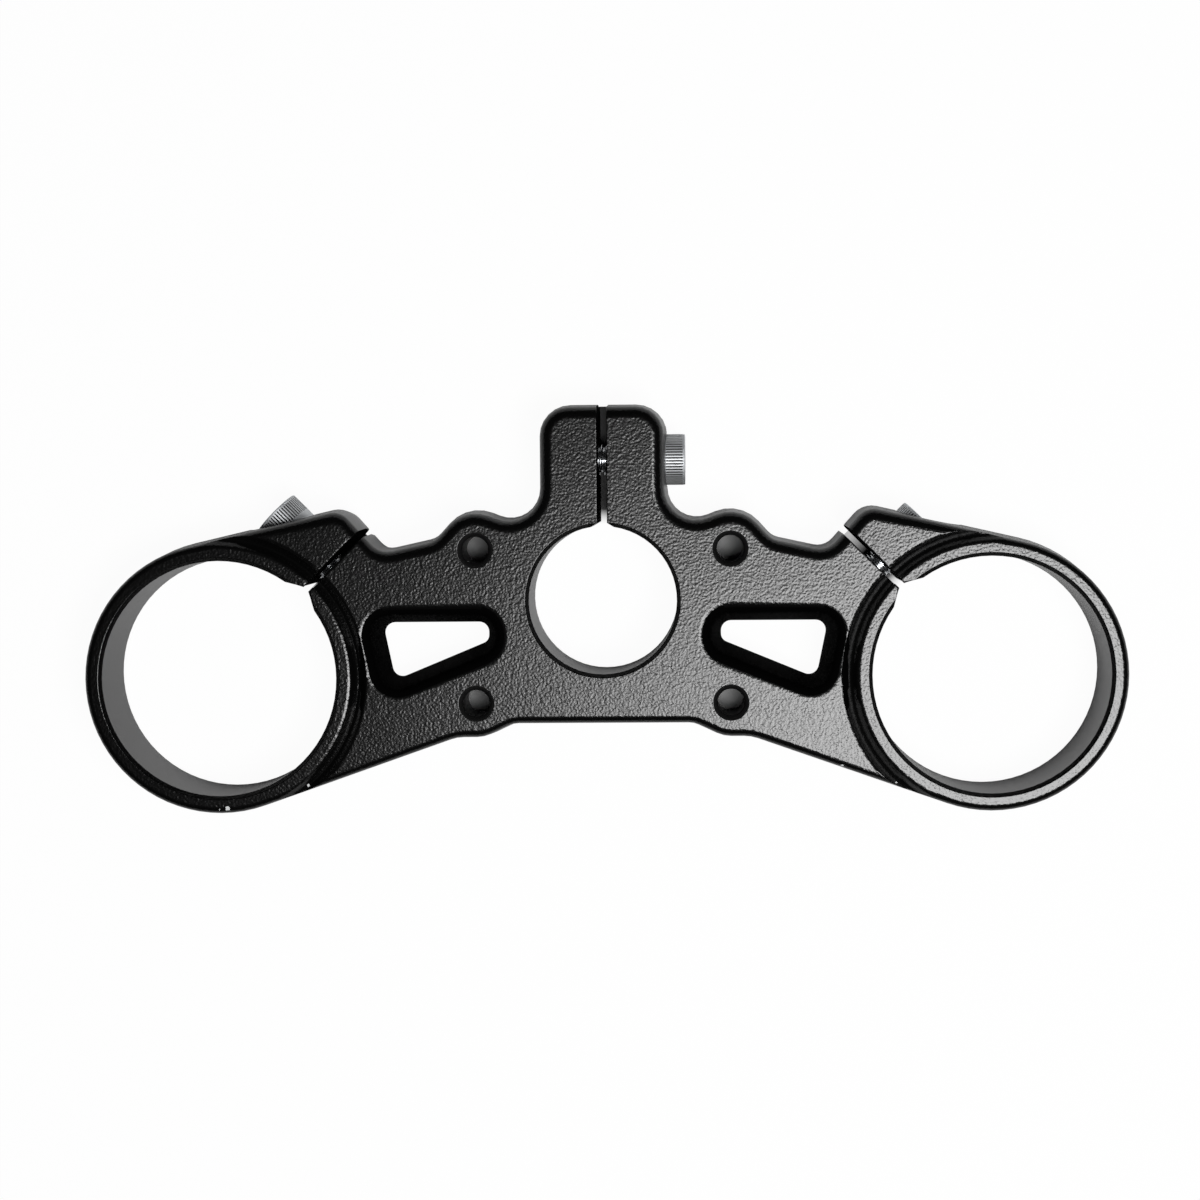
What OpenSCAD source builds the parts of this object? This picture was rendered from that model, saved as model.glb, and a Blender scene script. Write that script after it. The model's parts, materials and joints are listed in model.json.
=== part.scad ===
// Upper fork yoke (triple clamp) of a motorcycle: one forged aluminium yoke with two split fork
// clamps, a split stem clamp, four tapped holes and two lightening windows, and its three pinch bolts.
// Origin: the steering stem's axis at mid-height. +X is the rider's side with the right fork leg,
// +Y is the side of the stem clamp's ear, +Z is up.

/* [Yoke] */
// Height of the yoke
yoke_h = 28; // [24:0.5:34]
// Distance of the straight edge behind the stem from the stem axis
back_edge = 31.9; // [29:0.1:33]
// Distance of the plate's front edge from the stem axis, beside the front holes
front_edge = 18.2; // [16.5:0.1:19.5]
// Draft of the forged outer walls, in degrees
wall_draft = 3.5; // [1:0.5:5]
// Rounding of the edges on the ears' side
front_round = 3.2; // [2:0.1:3.6]
// Rounding of the edges behind the stem
back_round = 2; // [1:0.1:3]

/* [Fork clamps] */
// Distance between the two fork axes
fork_spacing = 196; // [190:1:206]
// Distance of the fork axes behind the stem axis
fork_offset = 19.4; // [17:0.2:22]
// Diameter of the fork bores
fork_bore_d = 60; // [56:0.5:61]
// Wall of the clamp rings at mid-height
ring_wall = 5.2; // [5:0.1:6.5]
// Reach of the rings' ears along the slits, past the fork bore
fork_ear = 22.5; // [20:0.1:24]
// Rounding of the clamp rings' edges
ring_round = 1.8; // [1.2:0.1:2.2]
// Chamfer of the fork and stem bores
bore_chamfer = 0.9; // [0.4:0.1:1.2]
// Depth of the groove that sets each ring off from the plate
groove_depth = 1.8; // [0.8:0.1:2.6]
// Width of that groove
groove_w = 4.6; // [3.6:0.1:5]

/* [Stem clamp] */
// Diameter of the stem bore
stem_bore_d = 37.5; // [34:0.5:39]
// Width of the stem clamp's ear
ear_w = 32.8; // [31:0.2:36]
// Distance of the ear's end from the stem axis
ear_reach = 49.7; // [47:0.1:54]

/* [Slits] */
// Width of the stem clamp's slit
stem_slit = 2.5; // [1.5:0.1:4]
// Width of the fork clamps' slits
fork_slit = 2; // [1.2:0.1:3]
// Direction of the fork slits from the fork axis, in degrees from the line of the forks
slit_angle = 45; // [43:0.5:47]

/* [Tapped holes] */
// Spacing of the four tapped holes across the yoke
hole_spacing_x = 64.6; // [62:0.2:67]
// Spacing of the four tapped holes front to back
hole_spacing_y = 38.9; // [37:0.1:40]
// Distance of the front pair of holes in front of the stem axis
hole_front = 12.9; // [12:0.1:14]
// Tapping diameter of the four holes
tapped_d = 6.8; // [5:0.1:7.4]
// Radius of the boss round each front hole
front_boss = 10; // [9:0.1:10.8]
// Radius of the boss round each back hole
back_boss = 9.4; // [8.6:0.1:10]
// Distance from each back hole to where the arm leaves its boss
arm_start = 4.9; // [4:0.1:7]
// Depth of the four tapped holes, to the start of the drill's point
tapped_depth = 22; // [14:0.5:23]
// Chamfer at the mouths of the tapped holes
tapped_chamfer = 1.1; // [0.4:0.1:1.4]

/* [Windows] */
// Front edge of the window at mid-height, behind the stem axis
window_front = 5.9; // [4.5:0.1:7]
// Inner end of the window at mid-height, from the stem axis
window_inner = 29.9; // [29:0.1:32]
// Width of the window at its inner end
window_nose = 4.9; // [4:0.1:6]
// Wall between the window's outer end and the fork bore, at mid-height
window_web = 10.6; // [10:0.1:14]
// Draft of the window's walls, in degrees
window_draft = 12; // [6:1:14]
// Rounding of the window's lip
lip_round = 3.5; // [2:0.1:4]
// Rounding of the lip at the window's outer end
outer_lip_round = 2.9; // [1.5:0.1:3.6]

/* [Pinch bolts] */
// Thread diameter of the pinch bolts
bolt_d = 8; // [6:1:8]
// Diameter of the bolt heads
head_d = 13; // [11:0.1:13.4]
// Height of the bolt heads
head_h = 8; // [6:0.5:9]
// Width across the flats of the hexagon sockets
socket_af = 6; // [4:1:6]
// Length of the stem clamp's bolt under its head
stem_bolt_len = 25; // [20:1:26]
// Length of the fork clamps' bolts under their heads
fork_bolt_len = 20; // [18:1:20]
// Distance of the stem bolt from the ear's end
stem_bolt_inset = 14.2; // [12:0.1:15]
// Distance of each fork bolt from its fork bore
fork_bolt_inset = 9; // [8:0.1:10.5]
// Seat of the stem bolt's head, from the middle of the slit
stem_seat = 13; // [10:0.1:14]
// Seat of a fork bolt's head, from the middle of the slit
fork_seat = 8; // [6.5:0.1:9]
// How far the left fork bolt is still backed off its seat
left_backed_off = 4.4; // [0:0.1:5]

/* [Hidden] */

coat_black = [0.09, 0.09, 0.09];
bolt_silver = [0.72, 0.73, 0.74];

groove_inset = 1.9;         // of the groove's inner edge from the ring's outer wall
half_h = yoke_h / 2;
fork_x = fork_spacing / 2;
fork_r = fork_bore_d / 2;
ring_r = fork_r + ring_wall;
hole_x = hole_spacing_x / 2;
hole_back = hole_front - hole_spacing_y;
stem_bolt_y = ear_reach - stem_bolt_inset;
fork_bolt_r = fork_r + fork_bolt_inset;

bolt_clearance = 0.4;       // on the diameter, in the half that the bolt passes through
thread_clearance = 0.2;     // on the diameter, in the half that the bolt screws into
head_clearance = 0.6;       // on the diameter, of the recess round a head
spotface_d = head_d + 2.4;  // clean face round a fork bolt's recess
spotface_seat = 14.4;       // of that face from the middle of the slit
blind_spare = 1.5;          // tapped hole past the bolt's end
slit_run = 8;               // of a slit's cutter past its ear
drill_point = 118;          // angle of a drill's point
mouth_angle = 58;           // of a slit's cut-back mouth, from the slit to either side
mouth_ease = 2.8;           // depth of that mouth at the fork bores
stem_mouth_ease = 1.6;      // and at the stem bore
bolt_rim = 0.7;             // rounding of a head's outer edge
seat_chamfer = 0.3;         // at the underside of a head
point_chamfer = 1;          // on the bolt's point
socket_depth = head_h / 2;

back_boss_flank = 25;       // slopes of the outline's straight edges, in degrees
arm_front_slope = 13;
fork_ear_slope = 48.2;
plate_front_slope = 12.4;
front_boss_slope = 48;
ear_foot_slope = 22;
window_back_slope = 22.4;
window_end_slope = 78.2;

valley_r = 5;               // radii of the outline's corners
arm_back_r = 10;
fork_ear_r = 6;
ear_foot_r = 7.5;
ear_corner_r = 8;
window_nose_r = 2.2;
window_corner_r = 2.6;

facet_len = 3;              // longest facet along a rounded corner
facet_turn = 15;            // and its largest turn, in degrees
edge_steps = 5;             // facets across a rounded edge
groove_steps = 10;          // facets across the groove round a fork clamp
rim_steps = 4;              // facets across the rim of a bolt's head
over = 1;                   // how far a cutter runs past a face
margin = 2;                 // outer stock that the outer cutter takes away
core_inset = 0.5;           // of a window's straight core from its outline
$fn = 128;

// Outlines: a list of [x, y, direction of travel], joined by rounded corners

// Edge that touches the circle at c, travelling in direction a with the circle on its left
function tangent(c, r, a) = [c.x + r * sin(a), c.y - r * cos(a), a];
// Edge from p that touches the circle at c, with the circle on its left
function tangent_from(p, c, r) =
    let (v = c - p) [p.x, p.y, atan2(v.y, v.x) - asin(r / norm(v))];
function unit(a) = [cos(a), sin(a)];
function left_of(a) = [-sin(a), cos(a)];
function meet(e, f) =
    let (d = unit(e[2]), g = unit(f[2]), w = [f.x - e.x, f.y - e.y])
    [e.x, e.y] + d * ((w.x * g.y - w.y * g.x) / (d.x * g.y - d.y * g.x));
function turn(a, b) = let (t = (b - a) % 360) t > 180 ? t - 360 : t <= -180 ? t + 360 : t;

// Rounded corner between edges e and f: points [x, y, inward x, inward y, edge rounding]
function corner(e, f, r, edge) =
    let (t = turn(e[2], f[2]), side = sign(t), v = meet(e, f), back = r * tan(abs(t) / 2),
         c = v - unit(e[2]) * back + left_of(e[2]) * r * side,
         n = ceil(abs(t) * max(1 / facet_turn, r * PI / 180 / facet_len)))
    [for (i = [0:n])
        let (a = e[2] + t * i / n, q = left_of(a), p = c - q * r * side)
        [p.x, p.y, q.x, q.y, edge]];
function outline(edges, radii, rounds) =
    let (n = len(edges))
    [for (i = [0:n - 1]) each corner(edges[i], edges[(i + 1) % n], radii[i], rounds[i])];
function inset(path, d) = [for (p = path) [p.x + p[2] * d, p.y + p[3] * d]];

// Edges of the yoke's right half at mid-height, anticlockwise from the middle of its back edge
fork = [fork_x, -fork_offset];
front_hole = [hole_x, hole_front];
back_hole = [hole_x, hole_back];
fork_ear_end = fork + unit(180 - slit_angle) * (fork_r + fork_ear);
half_edges = [
    [0, -back_edge, 0],
    tangent(back_hole, back_boss, -back_boss_flank),
    tangent(back_hole, back_boss, 0),
    tangent_from([hole_x + arm_start, hole_back - back_boss], fork, ring_r),
    tangent(fork, ring_r, 90),
    tangent(fork, ring_r, 180 - arm_front_slope),
    [fork_ear_end.x, fork_ear_end.y, 180 + fork_ear_slope],
    [hole_x, front_edge, 180 - plate_front_slope],
    tangent(front_hole, front_boss, 180 - front_boss_slope),
    tangent(front_hole, front_boss, 180 + ear_foot_slope),
    [ear_w / 2, 0, 90],
    [0, ear_reach, 180]
];
half_radii = [valley_r, back_boss, arm_back_r, ring_r, ring_r, fork_ear_r, valley_r, valley_r,
    front_boss, ear_foot_r, ear_corner_r];
half_rounds = [back_round, back_round, back_round, ring_round, ring_round, front_round, front_round,
    front_round, front_round, front_round, front_round];
last = len(half_edges) - 1;
yoke_edges = concat(half_edges, [for (i = [last - 1:-1:1]) let (e = half_edges[i]) [-e.x, e.y, -e[2]]]);
yoke_radii = concat(half_radii, [for (i = [last - 1:-1:0]) half_radii[i]]);
yoke_rounds = concat(half_rounds, [for (i = [last - 1:-1:0]) half_rounds[i]]);

// Edges of the right window at mid-height, anticlockwise
window_outer = fork_x - fork_r - window_web;
window_edges = [
    [0, -window_front, 180],
    [window_inner, 0, 270],
    [window_inner, -window_front - window_nose, -window_back_slope],
    [window_outer, -window_front, window_end_slope]
];
window_radii = [window_corner_r, window_nose_r, window_corner_r, window_corner_r];
window_rounds = [lip_round, lip_round, outer_lip_round, outer_lip_round];

// Rounded and drafted walls

// Section of a wall from its foot to past its top: [inset, z], with a draft and a rounded edge
function wall_section(draft, r) =
    let (start_z = half_h - r * (1 - sin(draft)), lean = start_z * tan(draft))
    [for (i = [0:edge_steps])
        let (a = draft + (90 - draft) * i / edge_steps)
        [lean + r * (cos(draft) - cos(a)), half_h - r + r * sin(a)]];
// Levels of a whole wall, from below the yoke to above it, for one point of an outline
function wall_levels(draft, r) =
    let (s = wall_section(draft, r), top = s[edge_steps])
    concat([[top[0], -half_h - over]],
        [for (i = [edge_steps:-1:0]) [s[i][0], -s[i][1]]],
        [[0, 0]], s, [[top[0], half_h + over]]);
// Closed band between a shaped wall and a straight one, for a closed outline. side is 1 where the
// shaped wall leans inwards and -1 where it leans outwards; straight is the other wall's inset.
module wall_band(path, draft, straight, side) {
    shaped = [for (p = path) wall_levels(draft, p[4])];
    levels = len(shaped[0]);
    rows = levels + 2;
    n = len(path);
    points = [for (i = [0:n - 1]) let (p = path[i], q = [p.x, p.y], w = [p[2], p[3]])
        each concat(
            [for (l = shaped[i]) let (s = q + w * l[0] * side) [s.x, s.y, l[1]]],
            [for (z = [half_h + over, -half_h - over]) let (s = q + w * straight) [s.x, s.y, z]])];
    faces = [for (i = [0:n - 1], k = [0:rows - 1])
        let (a = i * rows, b = (i + 1) % n * rows, m = (k + 1) % rows)
        side > 0 ? [a + k, b + k, b + m, a + m] : [a + k, a + m, b + m, b + k]];
    polyhedron(points, faces, convexity = 10);
}

module yoke_blank() {
    path = outline(yoke_edges, yoke_radii, yoke_rounds);
    difference() {
        translate([0, 0, -half_h])
            linear_extrude(yoke_h) polygon(inset(path, -margin));
        wall_band(path, wall_draft, -margin - over, 1);
    }
}

module window_cut() {
    path = outline(window_edges, window_radii, window_rounds);
    translate([0, 0, -half_h - over / 2])
        linear_extrude(yoke_h + over) polygon(inset(path, core_inset));
    wall_band(path, window_draft, 2 * core_inset, -1);
}

// Bores, slits and seats

module bore(d) {
    cylinder(d = d, h = yoke_h + 2 * over, center = true);
    for (s = [0, 1])
        mirror([0, 0, s])
            translate([0, 0, half_h - bore_chamfer])
                cylinder(d1 = d, d2 = d + 2 * (bore_chamfer + over), h = bore_chamfer + over);
}

// Groove round a fork clamp, on both faces: a smooth valley from shoulder to shoulder
module ring_groove() {
    inner = ring_r - groove_inset;
    valley = [for (i = [0:groove_steps]) let (u = i / groove_steps)
        [inner + groove_w * u, half_h - groove_depth * (1 - cos(360 * u)) / 2]];
    for (s = [0, 1])
        mirror([0, 0, s])
            rotate_extrude()
                polygon(concat(valley, [[inner + groove_w, half_h + over], [inner, half_h + over]]));
}

// Blind hole from the top face, with the drill's point at its bottom
module tapped_hole() {
    r = tapped_d / 2;
    translate([0, 0, half_h])
        rotate_extrude()
            polygon([[0, over], [r + tapped_chamfer + over, over], [r, -tapped_chamfer],
                [r, -tapped_depth], [0, -tapped_depth - r / tan(drill_point / 2)]]);
}

// Slit along +X from a bore's middle. The bore's corners beside it are cut back to a V, whose
// tip lies ease past the bore.
module slit(bore_d, w, length, ease) {
    run = ease + over;
    spread = run * tan(mouth_angle);
    translate([0, -w / 2, -half_h - over]) cube([length, w, yoke_h + 2 * over]);
    translate([bore_d / 2 + ease, 0, -half_h - over])
        linear_extrude(yoke_h + 2 * over) polygon([[-run, -spread], [0, 0], [-run, spread]]);
}

// Bolt hole along +X across a slit, with its head's recess, and the tapped half on the -X side
module bolt_hole(seat, bolt_len) {
    rotate([0, 90, 0]) {
        cylinder(d = bolt_d + bolt_clearance, h = seat + over);
        translate([0, 0, seat]) cylinder(d = head_d + head_clearance, h = 3 * head_h);
        translate([0, 0, -(bolt_len - seat) - blind_spare])
            cylinder(d = bolt_d + thread_clearance, h = bolt_len + over);
    }
}

// Places its children at a fork bolt, with +X along the bolt out of the ear
module at_fork_bolt() {
    translate([fork_x, -fork_offset, 0])
        rotate([0, 0, 180 - slit_angle])
            translate([fork_bolt_r, 0, 0])
                rotate([0, 0, -90])
                    children();
}

module at_stem_bolt() {
    translate([0, stem_bolt_y, 0]) children();
}

// Everything that is cut on the right side and again on the left
module side_cuts() {
    window_cut();
    translate([fork_x, -fork_offset, 0]) {
        bore(fork_bore_d);
        ring_groove();
        rotate([0, 0, 180 - slit_angle]) slit(fork_bore_d, fork_slit, fork_r + fork_ear + slit_run, mouth_ease);
    }
    for (y = [hole_front, hole_back])
        translate([hole_x, y, 0]) tapped_hole();
    at_fork_bolt() {
        bolt_hole(fork_seat, fork_bolt_len);
        translate([spotface_seat, 0, 0]) rotate([0, 90, 0]) cylinder(d = spotface_d, h = 2 * head_h);
    }
}

module yoke() {
    color(coat_black)
        difference() {
            yoke_blank();
            side_cuts();
            mirror([1, 0, 0]) side_cuts();
            bore(stem_bore_d);
            rotate([0, 0, 90]) slit(stem_bore_d, stem_slit, ear_reach + slit_run, stem_mouth_ease);
            at_stem_bolt() bolt_hole(stem_seat, stem_bolt_len);
        }
}

// Socket head screw along +X, with the underside of its head at the origin
module pinch_bolt(length) {
    r = bolt_d / 2;
    hr = head_d / 2;
    rim = [for (i = [0:rim_steps]) let (a = 90 * i / rim_steps)
        [hr - bolt_rim + bolt_rim * cos(a), head_h - bolt_rim + bolt_rim * sin(a)]];
    color(bolt_silver)
        rotate([0, 90, 0])
            difference() {
                rotate_extrude()
                    polygon(concat([[0, -length], [r - point_chamfer, -length],
                        [r, -length + point_chamfer], [r, 0], [hr - seat_chamfer, 0],
                        [hr, seat_chamfer]],
                        rim, [[0, head_h]]));
                translate([0, 0, head_h - socket_depth])
                    cylinder(d = socket_af / cos(30), h = socket_depth + over, $fn = 6);
            }
}

module stem_pinch_bolt() {
    at_stem_bolt() translate([stem_seat, 0, 0]) pinch_bolt(stem_bolt_len);
}

module right_fork_pinch_bolt() {
    at_fork_bolt() translate([fork_seat, 0, 0]) pinch_bolt(fork_bolt_len);
}

module left_fork_pinch_bolt() {
    mirror([1, 0, 0])
        at_fork_bolt() translate([fork_seat + left_backed_off, 0, 0]) pinch_bolt(fork_bolt_len);
}

yoke();
stem_pinch_bolt();
left_fork_pinch_bolt();
right_fork_pinch_bolt();
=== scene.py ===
import json
import math

import bmesh
import bpy
from mathutils import Matrix, Vector


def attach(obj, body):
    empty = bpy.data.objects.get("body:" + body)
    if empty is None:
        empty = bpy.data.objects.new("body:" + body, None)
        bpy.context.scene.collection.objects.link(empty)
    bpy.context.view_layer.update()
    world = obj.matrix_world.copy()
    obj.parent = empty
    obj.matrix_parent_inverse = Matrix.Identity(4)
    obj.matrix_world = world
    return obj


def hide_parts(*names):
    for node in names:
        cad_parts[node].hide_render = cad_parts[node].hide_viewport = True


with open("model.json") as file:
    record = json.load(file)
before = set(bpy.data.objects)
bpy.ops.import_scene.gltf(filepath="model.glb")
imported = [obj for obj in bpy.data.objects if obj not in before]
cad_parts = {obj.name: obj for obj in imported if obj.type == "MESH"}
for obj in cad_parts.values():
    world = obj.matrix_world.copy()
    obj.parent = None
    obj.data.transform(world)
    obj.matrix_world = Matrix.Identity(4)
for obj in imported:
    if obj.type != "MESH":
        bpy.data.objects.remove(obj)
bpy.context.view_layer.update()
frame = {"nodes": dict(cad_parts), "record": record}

# Camera
# The photograph looks straight down on the yoke from about 0.7 m above it.
# Its place and tilt come from the rims of the three bores, for a frame of 1200 by 1200 pixels.
CAMERA_PLACE = (0.0260, 0.0311, 0.6991)
CAMERA_TURN = (-0.04546, 0.03852, -0.00808)
SENSOR_WIDTH = 36
LENS = 81.5
NEAREST = 0.01

camera = bpy.data.objects.new("camera", bpy.data.cameras.new("camera"))
bpy.context.scene.collection.objects.link(camera)
camera.data.sensor_width = SENSOR_WIDTH
camera.data.lens = LENS
camera.data.clip_start = NEAREST
camera.location = CAMERA_PLACE
camera.rotation_euler = CAMERA_TURN
bpy.context.scene.camera = camera

# Floor and studio
# A seamless sheet of card lies under the part, and the room above it is dark.
# The card shows white to the camera, apart from a faint shadow and the painted shade under the narrow
# slits.
MM = 0.001
# The yoke's faces lie this far above and below its mid-height, and it lies flat on the card.
TOP = 14 * MM
FLOOR_HALF = 12.0
SHADOW_SHARE = 0.04
MIRRORED_WHITE = 0.05
# For each slit, in mm: the bore's centre, the slit's angle from +X, its half width, and where it
# starts and ends from that centre. Under it the card is painted dark as shade; the last value is how
# light that painted shade is at its outer end.
SLITS = ((0, 0, 90, 1.25, 18.75, 49.6, 0),
         (-98, -19.4, 45, 1.0, 28, 50, 0),
         (98, -19.4, 135, 1.0, 30, 50, 0.45))
# How far the painted dark strip of shade reaches past a slit's walls, and the stretches, from the
# bore and before the outer end, along which the card goes from light to painted dark and back.
# All are in mm.
SLIT_MARGIN = 0.3
BORE_FADE = 4
MOUTH_DARK, MOUTH_LIGHT = 7, 1
# The strength of the dark room, and the heights between which its white lower wall ends.
ROOM_LIGHT = 0.10
WALL_WHITE, WALL_DARK = 0.03, 0.10
# For each soft light: its name, its place, what it faces, its sides in metres, and its watts.
SOFT_BOXES = (("key_box", (0.218, -0.124, 0.886), (0.05, 0, 0), (0.31, 0.28), 7.3),
              ("top_box", (0.004, -0.100, 0.886), (0, 0, 0), (0.13, 0.13), 1.0))

floor_mesh = bmesh.new()
bmesh.ops.create_grid(floor_mesh, x_segments=1, y_segments=1, size=FLOOR_HALF)
bmesh.ops.translate(floor_mesh, vec=(0, 0, -TOP), verts=floor_mesh.verts)
floor = bpy.data.objects.new("white_card", bpy.data.meshes.new("white_card"))
floor_mesh.to_mesh(floor.data)
floor_mesh.free()
bpy.context.scene.collection.objects.link(floor)


def linear(code):
    """An sRGB hex colour as a linear one with alpha."""
    values = [int(code[i:i + 2], 16) / 255 for i in (1, 3, 5)]
    return [v / 12.92 if v <= 0.04045 else ((v + 0.055) / 1.055) ** 2.4 for v in values] + [1]


def add(tree, kind, settings=None, links=None):
    """Adds a node, with its properties or inputs set and its inputs linked from other outputs."""
    node = tree.nodes.new(kind)
    for name, value in (settings or {}).items():
        if isinstance(name, str) and hasattr(node, name):
            setattr(node, name, value)
        else:
            node.inputs[name].default_value = value
    for name, output in (links or {}).items():
        tree.links.new(output, node.inputs[name])
    return node


def blank_material(name):
    """A material with nothing but its output node, its tree and that node."""
    material = bpy.data.materials.new(name)
    material.use_nodes = True
    material.node_tree.nodes.clear()
    return material, material.node_tree, material.node_tree.nodes.new("ShaderNodeOutputMaterial")


# Plain white card, matt and smooth. Under each slit a strip of it is painted a darker grey as shade,
# and there the camera sees it as it is lit, which adds the slit's real shade. It is white again
# towards the bore, and at one slit a painted lighter band lies at the outer end.
card, tree, output = blank_material("white_card")
paths = add(tree, "ShaderNodeLightPath")
place = add(tree, "ShaderNodeTexCoord")
card_clear_of_painted_shade = None
for x, y, angle, half, start, end, outer in SLITS:
    strip = add(tree, "ShaderNodeMapping",
                {"vector_type": "TEXTURE", "Location": (x * MM, y * MM, 0),
                 "Rotation": (0, 0, math.radians(angle))},
                {"Vector": place.outputs["Object"]})
    strip = add(tree, "ShaderNodeSeparateXYZ", {}, {0: strip.outputs[0]})
    across = add(tree, "ShaderNodeMath", {"operation": "ABSOLUTE"}, {0: strip.outputs["Y"]})
    across = add(tree, "ShaderNodeMath", {"operation": "GREATER_THAN", 1: (half + SLIT_MARGIN) * MM},
                 {0: across.outputs[0]})
    past = add(tree, "ShaderNodeMath", {"operation": "GREATER_THAN", 1: end * MM},
               {0: strip.outputs["X"]})
    along = add(tree, "ShaderNodeMapRange",
                {"From Min": start * MM, "From Max": (start + BORE_FADE) * MM,
                 "To Min": 1.0, "To Max": 0.0},
                {"Value": strip.outputs["X"]})
    mouth = add(tree, "ShaderNodeMapRange",
                {"From Min": (end - MOUTH_DARK) * MM, "From Max": (end - MOUTH_LIGHT) * MM,
                 "To Min": 0.0, "To Max": outer},
                {"Value": strip.outputs["X"]})
    along = add(tree, "ShaderNodeMath", {"operation": "MAXIMUM"},
                {0: along.outputs[0], 1: mouth.outputs[0]})
    white_here = add(tree, "ShaderNodeMath", {"operation": "MAXIMUM"},
                     {0: across.outputs[0], 1: along.outputs[0]})
    white_here = add(tree, "ShaderNodeMath", {"operation": "MAXIMUM"},
                     {0: white_here.outputs[0], 1: past.outputs[0]})
    if card_clear_of_painted_shade:
        white_here = add(tree, "ShaderNodeMath", {"operation": "MINIMUM"},
                         {0: white_here.outputs[0], 1: card_clear_of_painted_shade.outputs[0]})
    card_clear_of_painted_shade = white_here
mirrored = add(tree, "ShaderNodeMath", {"operation": "MAXIMUM"},
               {0: paths.outputs["Is Glossy Ray"], 1: paths.outputs["Is Transmission Ray"]})
mirrored = add(tree, "ShaderNodeMath", {"operation": "MULTIPLY", 1: MIRRORED_WHITE},
               {0: mirrored.outputs[0]})
direct = add(tree, "ShaderNodeMath", {"operation": "MULTIPLY", 1: 1 - SHADOW_SHARE},
             {0: paths.outputs["Is Camera Ray"]})
direct = add(tree, "ShaderNodeMath", {"operation": "MULTIPLY"},
             {0: direct.outputs[0], 1: card_clear_of_painted_shade.outputs[0]})
seen = add(tree, "ShaderNodeMath", {"operation": "MAXIMUM"},
           {0: mirrored.outputs[0], 1: direct.outputs[0]})
# Painted shade: the card under the slits is a darker grey than the rest.
tint = add(tree, "ShaderNodeMix", {"data_type": "RGBA", 6: linear("#787878"), 7: linear("#F2F2F2")},
           {0: card_clear_of_painted_shade.outputs[0]})
paper = add(tree, "ShaderNodeBsdfDiffuse", {}, {"Color": tint.outputs[2]})
white = add(tree, "ShaderNodeEmission", {"Color": linear("#FFFFFF"), "Strength": 1.0})
mixed = add(tree, "ShaderNodeMixShader", {},
            {"Fac": seen.outputs[0], 1: paper.outputs[0], 2: white.outputs[0]})
tree.links.new(mixed.outputs[0], output.inputs["Surface"])
floor.data.materials.append(card)

# The room: a white ground to the camera, a low white wall in reflections, and dim grey light.
world = bpy.data.worlds.new("studio")
bpy.context.scene.world = world
world.use_nodes = True
tree = world.node_tree
tree.nodes.clear()
output = tree.nodes.new("ShaderNodeOutputWorld")
paths = add(tree, "ShaderNodeLightPath")
direction = add(tree, "ShaderNodeTexCoord")
height = add(tree, "ShaderNodeSeparateXYZ", {}, {0: direction.outputs["Generated"]})
wall = add(tree, "ShaderNodeMapRange",
           {"From Min": WALL_WHITE, "From Max": WALL_DARK, "To Min": 1.0, "To Max": 0.0},
           {"Value": height.outputs["Z"]})
seen = add(tree, "ShaderNodeMath", {"operation": "MAXIMUM"},
           {0: paths.outputs["Is Glossy Ray"], 1: paths.outputs["Is Transmission Ray"]})
seen = add(tree, "ShaderNodeMath", {"operation": "MULTIPLY"}, {0: seen.outputs[0], 1: wall.outputs[0]})
seen = add(tree, "ShaderNodeMath", {"operation": "MAXIMUM"},
           {0: seen.outputs[0], 1: paths.outputs["Is Camera Ray"]})
room = add(tree, "ShaderNodeBackground", {"Color": linear("#808080"), "Strength": ROOM_LIGHT})
backdrop = add(tree, "ShaderNodeBackground", {"Color": linear("#FFFFFF"), "Strength": 1.0})
mixed = add(tree, "ShaderNodeMixShader", {},
            {"Fac": seen.outputs[0], 1: room.outputs[0], 2: backdrop.outputs[0]})
tree.links.new(mixed.outputs[0], output.inputs["Surface"])

for name, spot, aim, sides, watts in SOFT_BOXES:
    light = bpy.data.lights.new(name, "AREA")
    light.shape = "RECTANGLE"
    light.size, light.size_y = sides
    light.energy = watts
    box = bpy.data.objects.new(name, light)
    box.location = spot
    box.rotation_euler = (Vector(aim) - Vector(spot)).to_track_quat("-Z", "Y").to_euler()
    bpy.context.scene.collection.objects.link(box)

# Yoke
# One forged aluminium piece, milled at its bores, slits and seats, then powder coated in a fine
# black grain. Its edges are broken by hand, and the coat rounds them.
MERGE = 0.001 * MM
FLAT = math.radians(0.2)
SHARP = math.radians(35)
ROUND_STEPS = 3
CRISP_EDGE = math.radians(30)
EDGE_ROUND = 0.15 * MM
# The grooves round the fork rings leave flat rims in the top face, softer than the other edges.
RIM_FLATTEST, RIM_STEEPEST = math.radians(15), math.radians(27)
RIM_LEVEL = 13.95 * MM
RIM_SHORTEST = 1 * MM
GROOVE_ROUND = 0.35 * MM
# How deep a tapped hole looks, and how far its walls and chamfer reach from its axis.
TAP_DEEP = 18 * MM
TAP_REACH = 4.6 * MM

yoke_skin = bmesh.new()
yoke_skin.from_mesh(frame["nodes"]["yoke"].data)
bmesh.ops.remove_doubles(yoke_skin, verts=yoke_skin.verts, dist=MERGE)
bmesh.ops.dissolve_limit(yoke_skin, angle_limit=FLAT, verts=yoke_skin.verts, edges=yoke_skin.edges)
crisp = [edge for edge in yoke_skin.edges if edge.is_convex and edge.calc_face_angle(0) > CRISP_EDGE]
bmesh.ops.bevel(yoke_skin, geom=crisp, offset=EDGE_ROUND, offset_type="OFFSET", segments=ROUND_STEPS,
                profile=0.5, affect="EDGES", clamp_overlap=False, material=-1)
rims = [edge for edge in yoke_skin.edges
        if edge.is_convex and min(vert.co.z for vert in edge.verts) > RIM_LEVEL
        and RIM_FLATTEST < edge.calc_face_angle(0) < RIM_STEEPEST and edge.calc_length() > RIM_SHORTEST]
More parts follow.
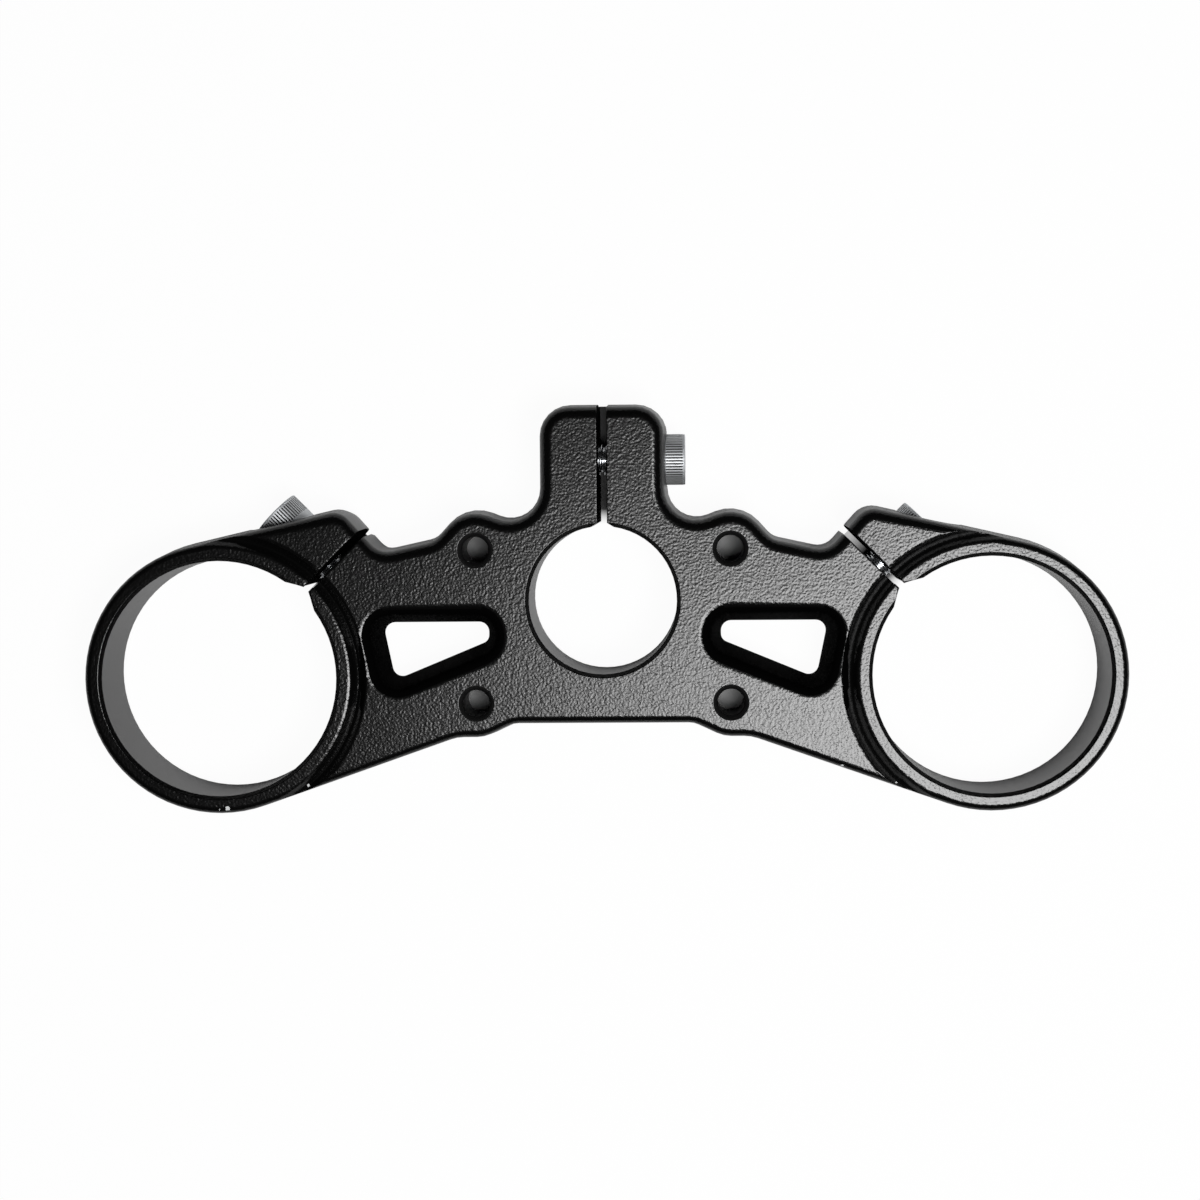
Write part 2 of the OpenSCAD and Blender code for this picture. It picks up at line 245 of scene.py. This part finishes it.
bmesh.ops.bevel(yoke_skin, geom=rims, offset=GROOVE_ROUND, offset_type="OFFSET", segments=ROUND_STEPS,
                profile=0.5, affect="EDGES", clamp_overlap=False, material=-1)
bmesh.ops.remove_doubles(yoke_skin, verts=yoke_skin.verts, dist=MERGE)
# Where a slope meets the flat faces, the rounding may not stand proud of them.
for vert in yoke_skin.verts:
    vert.co.z = max(-TOP, min(TOP, vert.co.z))
for face in yoke_skin.faces:
    face.smooth = True
for edge in yoke_skin.edges:
    edge.smooth = edge.calc_face_angle(math.pi) < SHARP

mounts = {mount["name"]: mount for mount in frame["record"]["mounts"]}
bores = [(mounts[name]["pos_m"], mounts[name]["dims"]["r_mm"] * MM)
         for name in ("stem_clamp", "left_fork_clamp", "right_fork_clamp")]
holes = mounts["handlebar_mount_holes"]
taps = [(holes["pos_m"][0] + i * holes["dims"]["spacing_x_mm"] / 2 * MM,
         holes["pos_m"][1] + j * holes["dims"]["spacing_y_mm"] / 2 * MM)
        for i in (-1, 1) for j in (-1, 1)]


def near(point, centre):
    """How far a point lies from an upright axis."""
    return math.hypot(point.x - centre[0], point.y - centre[1])


for vert in yoke_skin.verts:
    if vert.co.z < 0 and any(near(vert.co, tap) < TAP_REACH for tap in taps):
        vert.co.z = TOP - TAP_DEEP

# The coat differs from face to face. Faces are told apart by how level they lie (1 is flat, 0 is
# upright) and by where they are: at a bore, a tapped hole, a window or a slit.
TURNED, FORGED, OUTER = 1, 2, 3
LEVEL, STEEP, UPRIGHT = 0.98, 0.5, 0.3
BORE_REACH = 0.1 * MM
SLIT_REACH = 0.1
WINDOW_X = (24 * MM, 62 * MM)
WINDOW_Y = (-30 * MM, -2 * MM)


def in_slit(point):
    """Whether a point lies on a slit's wall."""
    for x, y, angle, half, start, end, _ in SLITS:
        along = Vector((math.cos(math.radians(angle)), math.sin(math.radians(angle)), 0))
        gap = point - Vector((x * MM, y * MM, 0))
        if (start * MM < gap.dot(along) < end * MM
                and abs(gap.cross(along).z) < (half + SLIT_REACH) * MM):
            return True
    return False


for face in yoke_skin.faces:
    middle = face.calc_center_median()
    level = abs(face.normal.z)
    if level < STEEP and any(near(middle, centre) < r + BORE_REACH for centre, r in bores):
        face.material_index = TURNED
    elif level < LEVEL and any(near(middle, tap) < TAP_REACH for tap in taps):
        face.material_index = TURNED
    elif (level < LEVEL and WINDOW_X[0] < abs(middle.x) < WINDOW_X[1]
            and WINDOW_Y[0] < middle.y < WINDOW_Y[1]):
        face.material_index = FORGED
    elif level < UPRIGHT:
        face.material_index = FORGED if in_slit(middle) else OUTER

yoke = bpy.data.objects.new("yoke_skin", bpy.data.meshes.new("yoke_skin"))
yoke_skin.to_mesh(yoke.data)
yoke_skin.free()
bpy.context.scene.collection.objects.link(yoke)
even = yoke.modifiers.new("even_flats", "WEIGHTED_NORMAL")
even.keep_sharp = True

# Powder coat, sprayed and baked into a fine sandy grain: black, with a bright fleck on each grain.
# The grain is drawn a little coarser than it is, so that it shows in the render.
GRAIN = 0.57 * MM
GRAIN_HIGH = 0.058 * MM
# Chips at the rim, where the coat is knocked off down to the bare aluminium: place and radius in
# mm, the lumps per mm of their ragged outline, and how far it wanders.
NICKS = ((-96.0, -52.5, 13.9, 0.6),
         (-98.2, -52.9, 13.8, 0.25),
         (-75.6, -46.8, 12.3, 0.35),
         (60.3, -42.1, 13.4, 0.35),
         (73.9, -46.6, 12.7, 0.25))
RAGGED = 1.5
RAGGED_WIDE = 0.9

coat, tree, output = blank_material("black_powder_coat")
place = add(tree, "ShaderNodeTexCoord")
grain = add(tree, "ShaderNodeTexNoise", {"Scale": 1 / GRAIN, "Detail": 0.5, "Roughness": 0.6},
            {"Vector": place.outputs["Object"]})
bump = add(tree, "ShaderNodeBump", {"Strength": 1.0, "Distance": GRAIN_HIGH},
           {"Height": grain.outputs["Fac"]})
ragged = add(tree, "ShaderNodeTexNoise", {"Scale": RAGGED / MM, "Detail": 2.0},
             {"Vector": place.outputs["Object"]})
ragged = add(tree, "ShaderNodeMath", {"operation": "MULTIPLY", 1: RAGGED_WIDE * MM},
             {0: ragged.outputs["Fac"]})
bare = None
for x, y, z, r in NICKS:
    chip = add(tree, "ShaderNodeVectorMath", {"operation": "DISTANCE", 1: (x * MM, y * MM, z * MM)},
               {0: place.outputs["Object"]})
    chip = add(tree, "ShaderNodeMath", {"operation": "ADD"},
               {0: chip.outputs["Value"], 1: ragged.outputs[0]})
    chip = add(tree, "ShaderNodeMath", {"operation": "LESS_THAN", 1: (r + RAGGED_WIDE / 2) * MM},
               {0: chip.outputs[0]})
    if bare:
        chip = add(tree, "ShaderNodeMath", {"operation": "MAXIMUM"},
                   {0: chip.outputs[0], 1: bare.outputs[0]})
    bare = chip
tint = add(tree, "ShaderNodeMix", {"data_type": "RGBA", 6: linear("#050505"), 7: linear("#D0D2D2")},
           {0: bare.outputs[0]})
gloss = add(tree, "ShaderNodeMapRange", {"To Min": 0.21, "To Max": 0.8}, {"Value": bare.outputs[0]})
finish = add(tree, "ShaderNodeBsdfPrincipled", {"Specular IOR Level": 0.3},
             {"Base Color": tint.outputs[2], "Roughness": gloss.outputs[0],
              "Normal": bump.outputs["Normal"]})
tree.links.new(finish.outputs[0], output.inputs["Surface"])

# The same black on turned walls, thin and smooth, with the faint rings of the boring tool. They
# are drawn wider apart than the tool's feed, so that they show. Both values are rings per mm.
RINGS_ALONG, RINGS_ROUND = 2.5, 0.02
RING_HIGH = 0.008 * MM

satin, tree, output = blank_material("black_coat_on_turned_walls")
place = add(tree, "ShaderNodeTexCoord")
rings = add(tree, "ShaderNodeMapping",
            {"Scale": (RINGS_ROUND / MM, RINGS_ROUND / MM, RINGS_ALONG / MM)},
            {"Vector": place.outputs["Object"]})
rings = add(tree, "ShaderNodeTexNoise", {"Scale": 1.0, "Detail": 2.0}, {"Vector": rings.outputs[0]})
bump = add(tree, "ShaderNodeBump", {"Strength": 1.0, "Distance": RING_HIGH},
           {"Height": rings.outputs["Fac"]})
finish = add(tree, "ShaderNodeBsdfPrincipled", {"Base Color": linear("#060606"), "Roughness": 0.42},
             {"Normal": bump.outputs["Normal"]})
tree.links.new(finish.outputs[0], output.inputs["Surface"])

# The windows keep the rough walls that the forging left, and the slits the saw's: coarse, matt and
# dark under the coat. The pits are counted per mm.
PITS = 1.6
PIT_DEEP = 0.25 * MM

rough, tree, output = blank_material("black_coat_on_forged_walls")
place = add(tree, "ShaderNodeTexCoord")
pits = add(tree, "ShaderNodeTexNoise", {"Scale": PITS / MM, "Detail": 3.0, "Roughness": 0.7},
           {"Vector": place.outputs["Object"]})
bump = add(tree, "ShaderNodeBump", {"Strength": 1.0, "Distance": PIT_DEEP},
           {"Height": pits.outputs["Fac"]})
finish = add(tree, "ShaderNodeBsdfPrincipled",
             {"Base Color": linear("#030303"), "Roughness": 0.8, "Specular IOR Level": 0.01},
             {"Normal": bump.outputs["Normal"]})
tree.links.new(finish.outputs[0], output.inputs["Surface"])

# The outer walls face away from the spray gun, so their coat is thinner, flatter and duller. The same
# black is painted a lighter grey on them, as painted fill light from the sides.
THIN_GRAIN_HIGH = 0.03 * MM

walls_painted_lighter, tree, output = blank_material("black_coat_painted_lighter_on_outer_walls")
place = add(tree, "ShaderNodeTexCoord")
grain = add(tree, "ShaderNodeTexNoise", {"Scale": 1 / GRAIN, "Detail": 0.5, "Roughness": 0.6},
            {"Vector": place.outputs["Object"]})
bump = add(tree, "ShaderNodeBump", {"Strength": 1.0, "Distance": THIN_GRAIN_HIGH},
           {"Height": grain.outputs["Fac"]})
finish = add(tree, "ShaderNodeBsdfPrincipled",
             {"Base Color": linear("#3A3A3A"), "Roughness": 0.32, "Specular IOR Level": 0.12},
             {"Normal": bump.outputs["Normal"]})
tree.links.new(finish.outputs[0], output.inputs["Surface"])

for material in (coat, satin, rough, walls_painted_lighter):
    yoke.data.materials.append(material)
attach(yoke, "root")
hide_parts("yoke")

# Pinch bolts
# Zinc plated steel screws, M8 with a hexagon socket. Their heads are rolled with straight knurls
# round the upper part, and their threads are rolled up to the head.
HEAD_R = 6.5 * MM
HEAD_H = 8.0 * MM
HEAD_FOOT = 0.3 * MM
RIM_ROUND = 0.32 * MM
RIM_STEPS = 5
# The socket: half the hexagon's width, its depth, the drilled hole before the broach went in, the
# cone at its bottom, and the chamfer at its mouth.
SOCKET_FLAT = 3.0 * MM
SOCKET_DEEP = 4.0 * MM
SOCKET_DRILL = 3.2 * MM
CONE_R, CONE_STEP, CONE_DEEP = 2.6 * MM, 0.1 * MM, 1.2 * MM
MOUTH_R, MOUTH_DEEP = 3.75 * MM, 0.4 * MM
MOUTH_SLOPE = math.radians(30)
HEX_TURN = math.radians(60)
# The knurls, between a thin groove under the rim and a plain band above the head's foot.
KNURLS = 54
KNURL_STEPS = 4
KNURL_DEEP = 0.28 * MM
ROOT_SHADE_TOP, ROOT_SHADE_FOOT = 0.3 * KNURL_DEEP, 0.6 * KNURL_DEEP
KNURL_TOP, KNURL_END = -0.48 * MM, -5.0 * MM
KNURL_LEAD, KNURL_RUN_OUT = 0.2 * MM, 0.12 * MM
NECK_DEEP, NECK_TOP, NECK_END = 0.12 * MM, -0.38 * MM, -0.43 * MM
BAND_DEEP, BAND_STEP = 0.03 * MM, 0.08 * MM
# The thread: it starts inside the head, and its point is chamfered.
THREAD_R = 4.0 * MM
THREAD_ROOT = 3.25 * MM
PITCH = 1.25 * MM
THREAD_CREST = PITCH / 8
THREAD_FLANK = 0.42 * MM
THREAD_STEPS = 48
THREAD_RISE = 0.5 * MM
POINT_CHAMFER = 0.8 * MM
SHADED_ROOTS, THREADS = 1, 2


def screw_head(mesh):
    """The head, its end face at z = 0, turned from its outline and then knurled and broached."""
    rim = [(HEAD_R - RIM_ROUND * (1 - math.sin(a)), -RIM_ROUND * (1 - math.cos(a)))
           for a in (math.radians(90 / RIM_STEPS * i) for i in range(RIM_STEPS + 1))]
    socket = [(0, -SOCKET_DEEP - CONE_DEEP), (CONE_R, -SOCKET_DEEP - CONE_STEP),
              (SOCKET_DRILL, -SOCKET_DEEP), (SOCKET_DRILL, -MOUTH_DEEP), (MOUTH_R, 0)]
    neck = [(HEAD_R - NECK_DEEP, NECK_TOP), (HEAD_R - NECK_DEEP, NECK_END)]
    knurled = [(HEAD_R, KNURL_TOP), (HEAD_R, KNURL_TOP - KNURL_LEAD),
               (HEAD_R, KNURL_END + KNURL_RUN_OUT), (HEAD_R, KNURL_END)]
    band = [(HEAD_R - BAND_DEEP, KNURL_END - BAND_STEP), (HEAD_R - BAND_DEEP, -HEAD_H + HEAD_FOOT),
            (HEAD_R - HEAD_FOOT, -HEAD_H), (0, -HEAD_H)]
    line = [mesh.verts.new((r, 0, z)) for r, z in socket + rim + neck + knurled + band]
    edges = [mesh.edges.new(pair) for pair in zip(line, line[1:])]
    bmesh.ops.spin(mesh, geom=line + edges, cent=(0, 0, 0), axis=(0, 0, 1), angle=math.tau,
                   steps=KNURLS * KNURL_STEPS, use_merge=True)
    bmesh.ops.remove_doubles(mesh, verts=mesh.verts, dist=MERGE)
    for vert in mesh.verts:
        r = math.hypot(vert.co.x, vert.co.y)
        turn = math.atan2(vert.co.y, vert.co.x)
        new_r = r
        if abs(r - SOCKET_DRILL) < MERGE:
            new_r = SOCKET_FLAT / math.cos((turn % HEX_TURN) - HEX_TURN / 2)
            if vert.co.z > -SOCKET_DEEP / 2:
                vert.co.z = -(MOUTH_R - new_r) * math.tan(MOUTH_SLOPE)
        elif abs(r - HEAD_R) < MERGE and KNURL_END + MERGE < vert.co.z < KNURL_TOP - MERGE:
            step = round(turn / math.tau * KNURLS * KNURL_STEPS)
            new_r = r - KNURL_DEEP if step % KNURL_STEPS == 0 else r
        if r > MERGE:
            vert.co.x *= new_r / r
            vert.co.y *= new_r / r
    # The flanks of a knurl's groove have their middles half way down, and they are painted dark as shade.
    for face in mesh.faces:
        middle = face.calc_center_median()
        if (HEAD_R - ROOT_SHADE_FOOT < math.hypot(middle.x, middle.y) < HEAD_R - ROOT_SHADE_TOP
                and KNURL_END < middle.z < KNURL_TOP):
            face.material_index = SHADED_ROOTS
    return mesh


def screw_thread(mesh, length):
    """The shank: one pitch of thread wound round the axis, cut off in the head and at the point."""
    # The winding starts two pitches above the upper cut, so that both cuts go through whole turns.
    turns = math.ceil((length + THREAD_RISE) / PITCH) + 3
    start = -HEAD_H + THREAD_RISE + 2 * PITCH
    pitch_line = [(THREAD_R, 0), (THREAD_R, -THREAD_CREST), (THREAD_ROOT, -THREAD_CREST - THREAD_FLANK),
                  (THREAD_ROOT, -PITCH + THREAD_FLANK), (THREAD_R, -PITCH)]
    line = [mesh.verts.new((r, 0, start + z)) for r, z in pitch_line]
    edges = [mesh.edges.new(pair) for pair in zip(line, line[1:])]
    bmesh.ops.spin(mesh, geom=line + edges, cent=(0, 0, 0), axis=(0, 0, 1), angle=math.tau * turns,
                   steps=THREAD_STEPS * turns, dvec=(0, 0, -PITCH / THREAD_STEPS))
    bmesh.ops.remove_doubles(mesh, verts=mesh.verts, dist=MERGE)
    for level, up in ((-HEAD_H + THREAD_RISE, 1), (-HEAD_H - length, -1)):
        cut = bmesh.ops.bisect_plane(mesh, geom=mesh.verts[:] + mesh.edges[:] + mesh.faces[:],
                                     plane_co=(0, 0, level), plane_no=(0, 0, up), clear_outer=True)
        rim = [e for e in cut["geom_cut"] if isinstance(e, bmesh.types.BMEdge)]
        bmesh.ops.edgeloop_fill(mesh, edges=rim)
    for vert in mesh.verts:
        r = math.hypot(vert.co.x, vert.co.y)
        room = THREAD_R - POINT_CHAMFER + (vert.co.z + HEAD_H + length)
        if r > room:
            vert.co.x *= room / r
            vert.co.y *= room / r
    for face in mesh.faces:
        face.material_index = THREADS
    return mesh


# Bright zinc plating over rolled steel: a cool white metal with faint milky clouds, which are
# counted per mm.
BLOOM = 0.7
BLOOM_HIGH = 0.01 * MM

zinc, tree, output = blank_material("zinc_plated_steel")
place = add(tree, "ShaderNodeTexCoord")
bloom = add(tree, "ShaderNodeTexNoise", {"Scale": BLOOM / MM, "Detail": 3.0, "Roughness": 0.6},
            {"Vector": place.outputs["Object"]})
gloss = add(tree, "ShaderNodeMapRange", {"To Min": 0.55, "To Max": 0.70}, {"Value": bloom.outputs["Fac"]})
bump = add(tree, "ShaderNodeBump", {"Strength": 1.0, "Distance": BLOOM_HIGH},
           {"Height": bloom.outputs["Fac"]})
finish = add(tree, "ShaderNodeBsdfPrincipled", {"Base Color": linear("#D2D4D6"), "Metallic": 1.0},
             {"Roughness": gloss.outputs[0], "Normal": bump.outputs["Normal"]})
tree.links.new(finish.outputs[0], output.inputs["Surface"])

# The roots of the knurls are painted dark as shade, dull between the bright lands, and lighter or
# darker in patches at random. The patches are counted per mm.
SHADE_PATCHES = 0.9

knurl_root_shade, tree, output = blank_material("painted_shade_in_the_knurls")
place = add(tree, "ShaderNodeTexCoord")
shade_patches = add(tree, "ShaderNodeTexNoise", {"Scale": SHADE_PATCHES / MM, "Detail": 2.0},
            {"Vector": place.outputs["Object"]})
shade = add(tree, "ShaderNodeMix", {"data_type": "RGBA", 6: linear("#1E1E1D"), 7: linear("#5A5B5B")},
            {0: shade_patches.outputs["Fac"]})
finish = add(tree, "ShaderNodeBsdfPrincipled", {"Metallic": 0.6, "Roughness": 0.55},
             {"Base Color": shade.outputs[2]})
tree.links.new(finish.outputs[0], output.inputs["Surface"])

# The thread is rolled smooth and sheltered in the slit, so its plating is brighter and glints. The
# marks of the rolling are counted per mm.
MARKS = 1.5

glint, tree, output = blank_material("bright_zinc_on_the_thread")
place = add(tree, "ShaderNodeTexCoord")
marks = add(tree, "ShaderNodeTexNoise", {"Scale": MARKS / MM, "Detail": 2.0},
            {"Vector": place.outputs["Object"]})
gloss = add(tree, "ShaderNodeMapRange", {"To Min": 0.18, "To Max": 0.34}, {"Value": marks.outputs["Fac"]})
finish = add(tree, "ShaderNodeBsdfPrincipled", {"Base Color": linear("#C8CACC"), "Metallic": 1.0},
             {"Roughness": gloss.outputs[0]})
tree.links.new(finish.outputs[0], output.inputs["Surface"])

# For each bolt: its node, the direction that its head faces, and the length of its shank. Its
# place comes from its node in the solids.
slant = math.sqrt(0.5)
BOLTS = (("stem_pinch_bolt", Vector((1, 0, 0)), 25 * MM),
         ("left_fork_pinch_bolt", Vector((-slant, slant, 0)), 20 * MM),
         ("right_fork_pinch_bolt", Vector((slant, slant, 0)), 20 * MM))
for node, outwards, length in BOLTS:
    points = [v.co for v in frame["nodes"][node].data.vertices]
    end = max(p.dot(outwards) for p in points)
    across = outwards.cross(Vector((0, 0, 1)))
    sides = [p.dot(across) for p in points]
    levels = [p.z for p in points]
    middle = (outwards * end + across * (min(sides) + max(sides)) / 2
              + Vector((0, 0, (min(levels) + max(levels)) / 2)))
    # The head and the shank stay two closed bodies in one mesh.
    mesh = bpy.data.meshes.new(node + "_turned")
    for part in (screw_head(bmesh.new()), screw_thread(bmesh.new(), length)):
        part.from_mesh(mesh)
        bmesh.ops.recalc_face_normals(part, faces=part.faces)
        part.to_mesh(mesh)
        part.free()
    whole = bmesh.new()
    whole.from_mesh(mesh)
    for face in whole.faces:
        face.smooth = True
    for edge in whole.edges:
        edge.smooth = edge.calc_face_angle(math.pi) < SHARP
    whole.transform(Matrix.Translation(middle) @ outwards.to_track_quat("Z", "Y").to_matrix().to_4x4())
    whole.to_mesh(mesh)
    whole.free()
    bolt = bpy.data.objects.new(node + "_turned", mesh)
    bpy.context.scene.collection.objects.link(bolt)
    for material in (zinc, knurl_root_shade, glint):
        mesh.materials.append(material)
    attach(bolt, "root")
    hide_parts(node)

bpy.context.scene.view_settings.view_transform = "Standard"
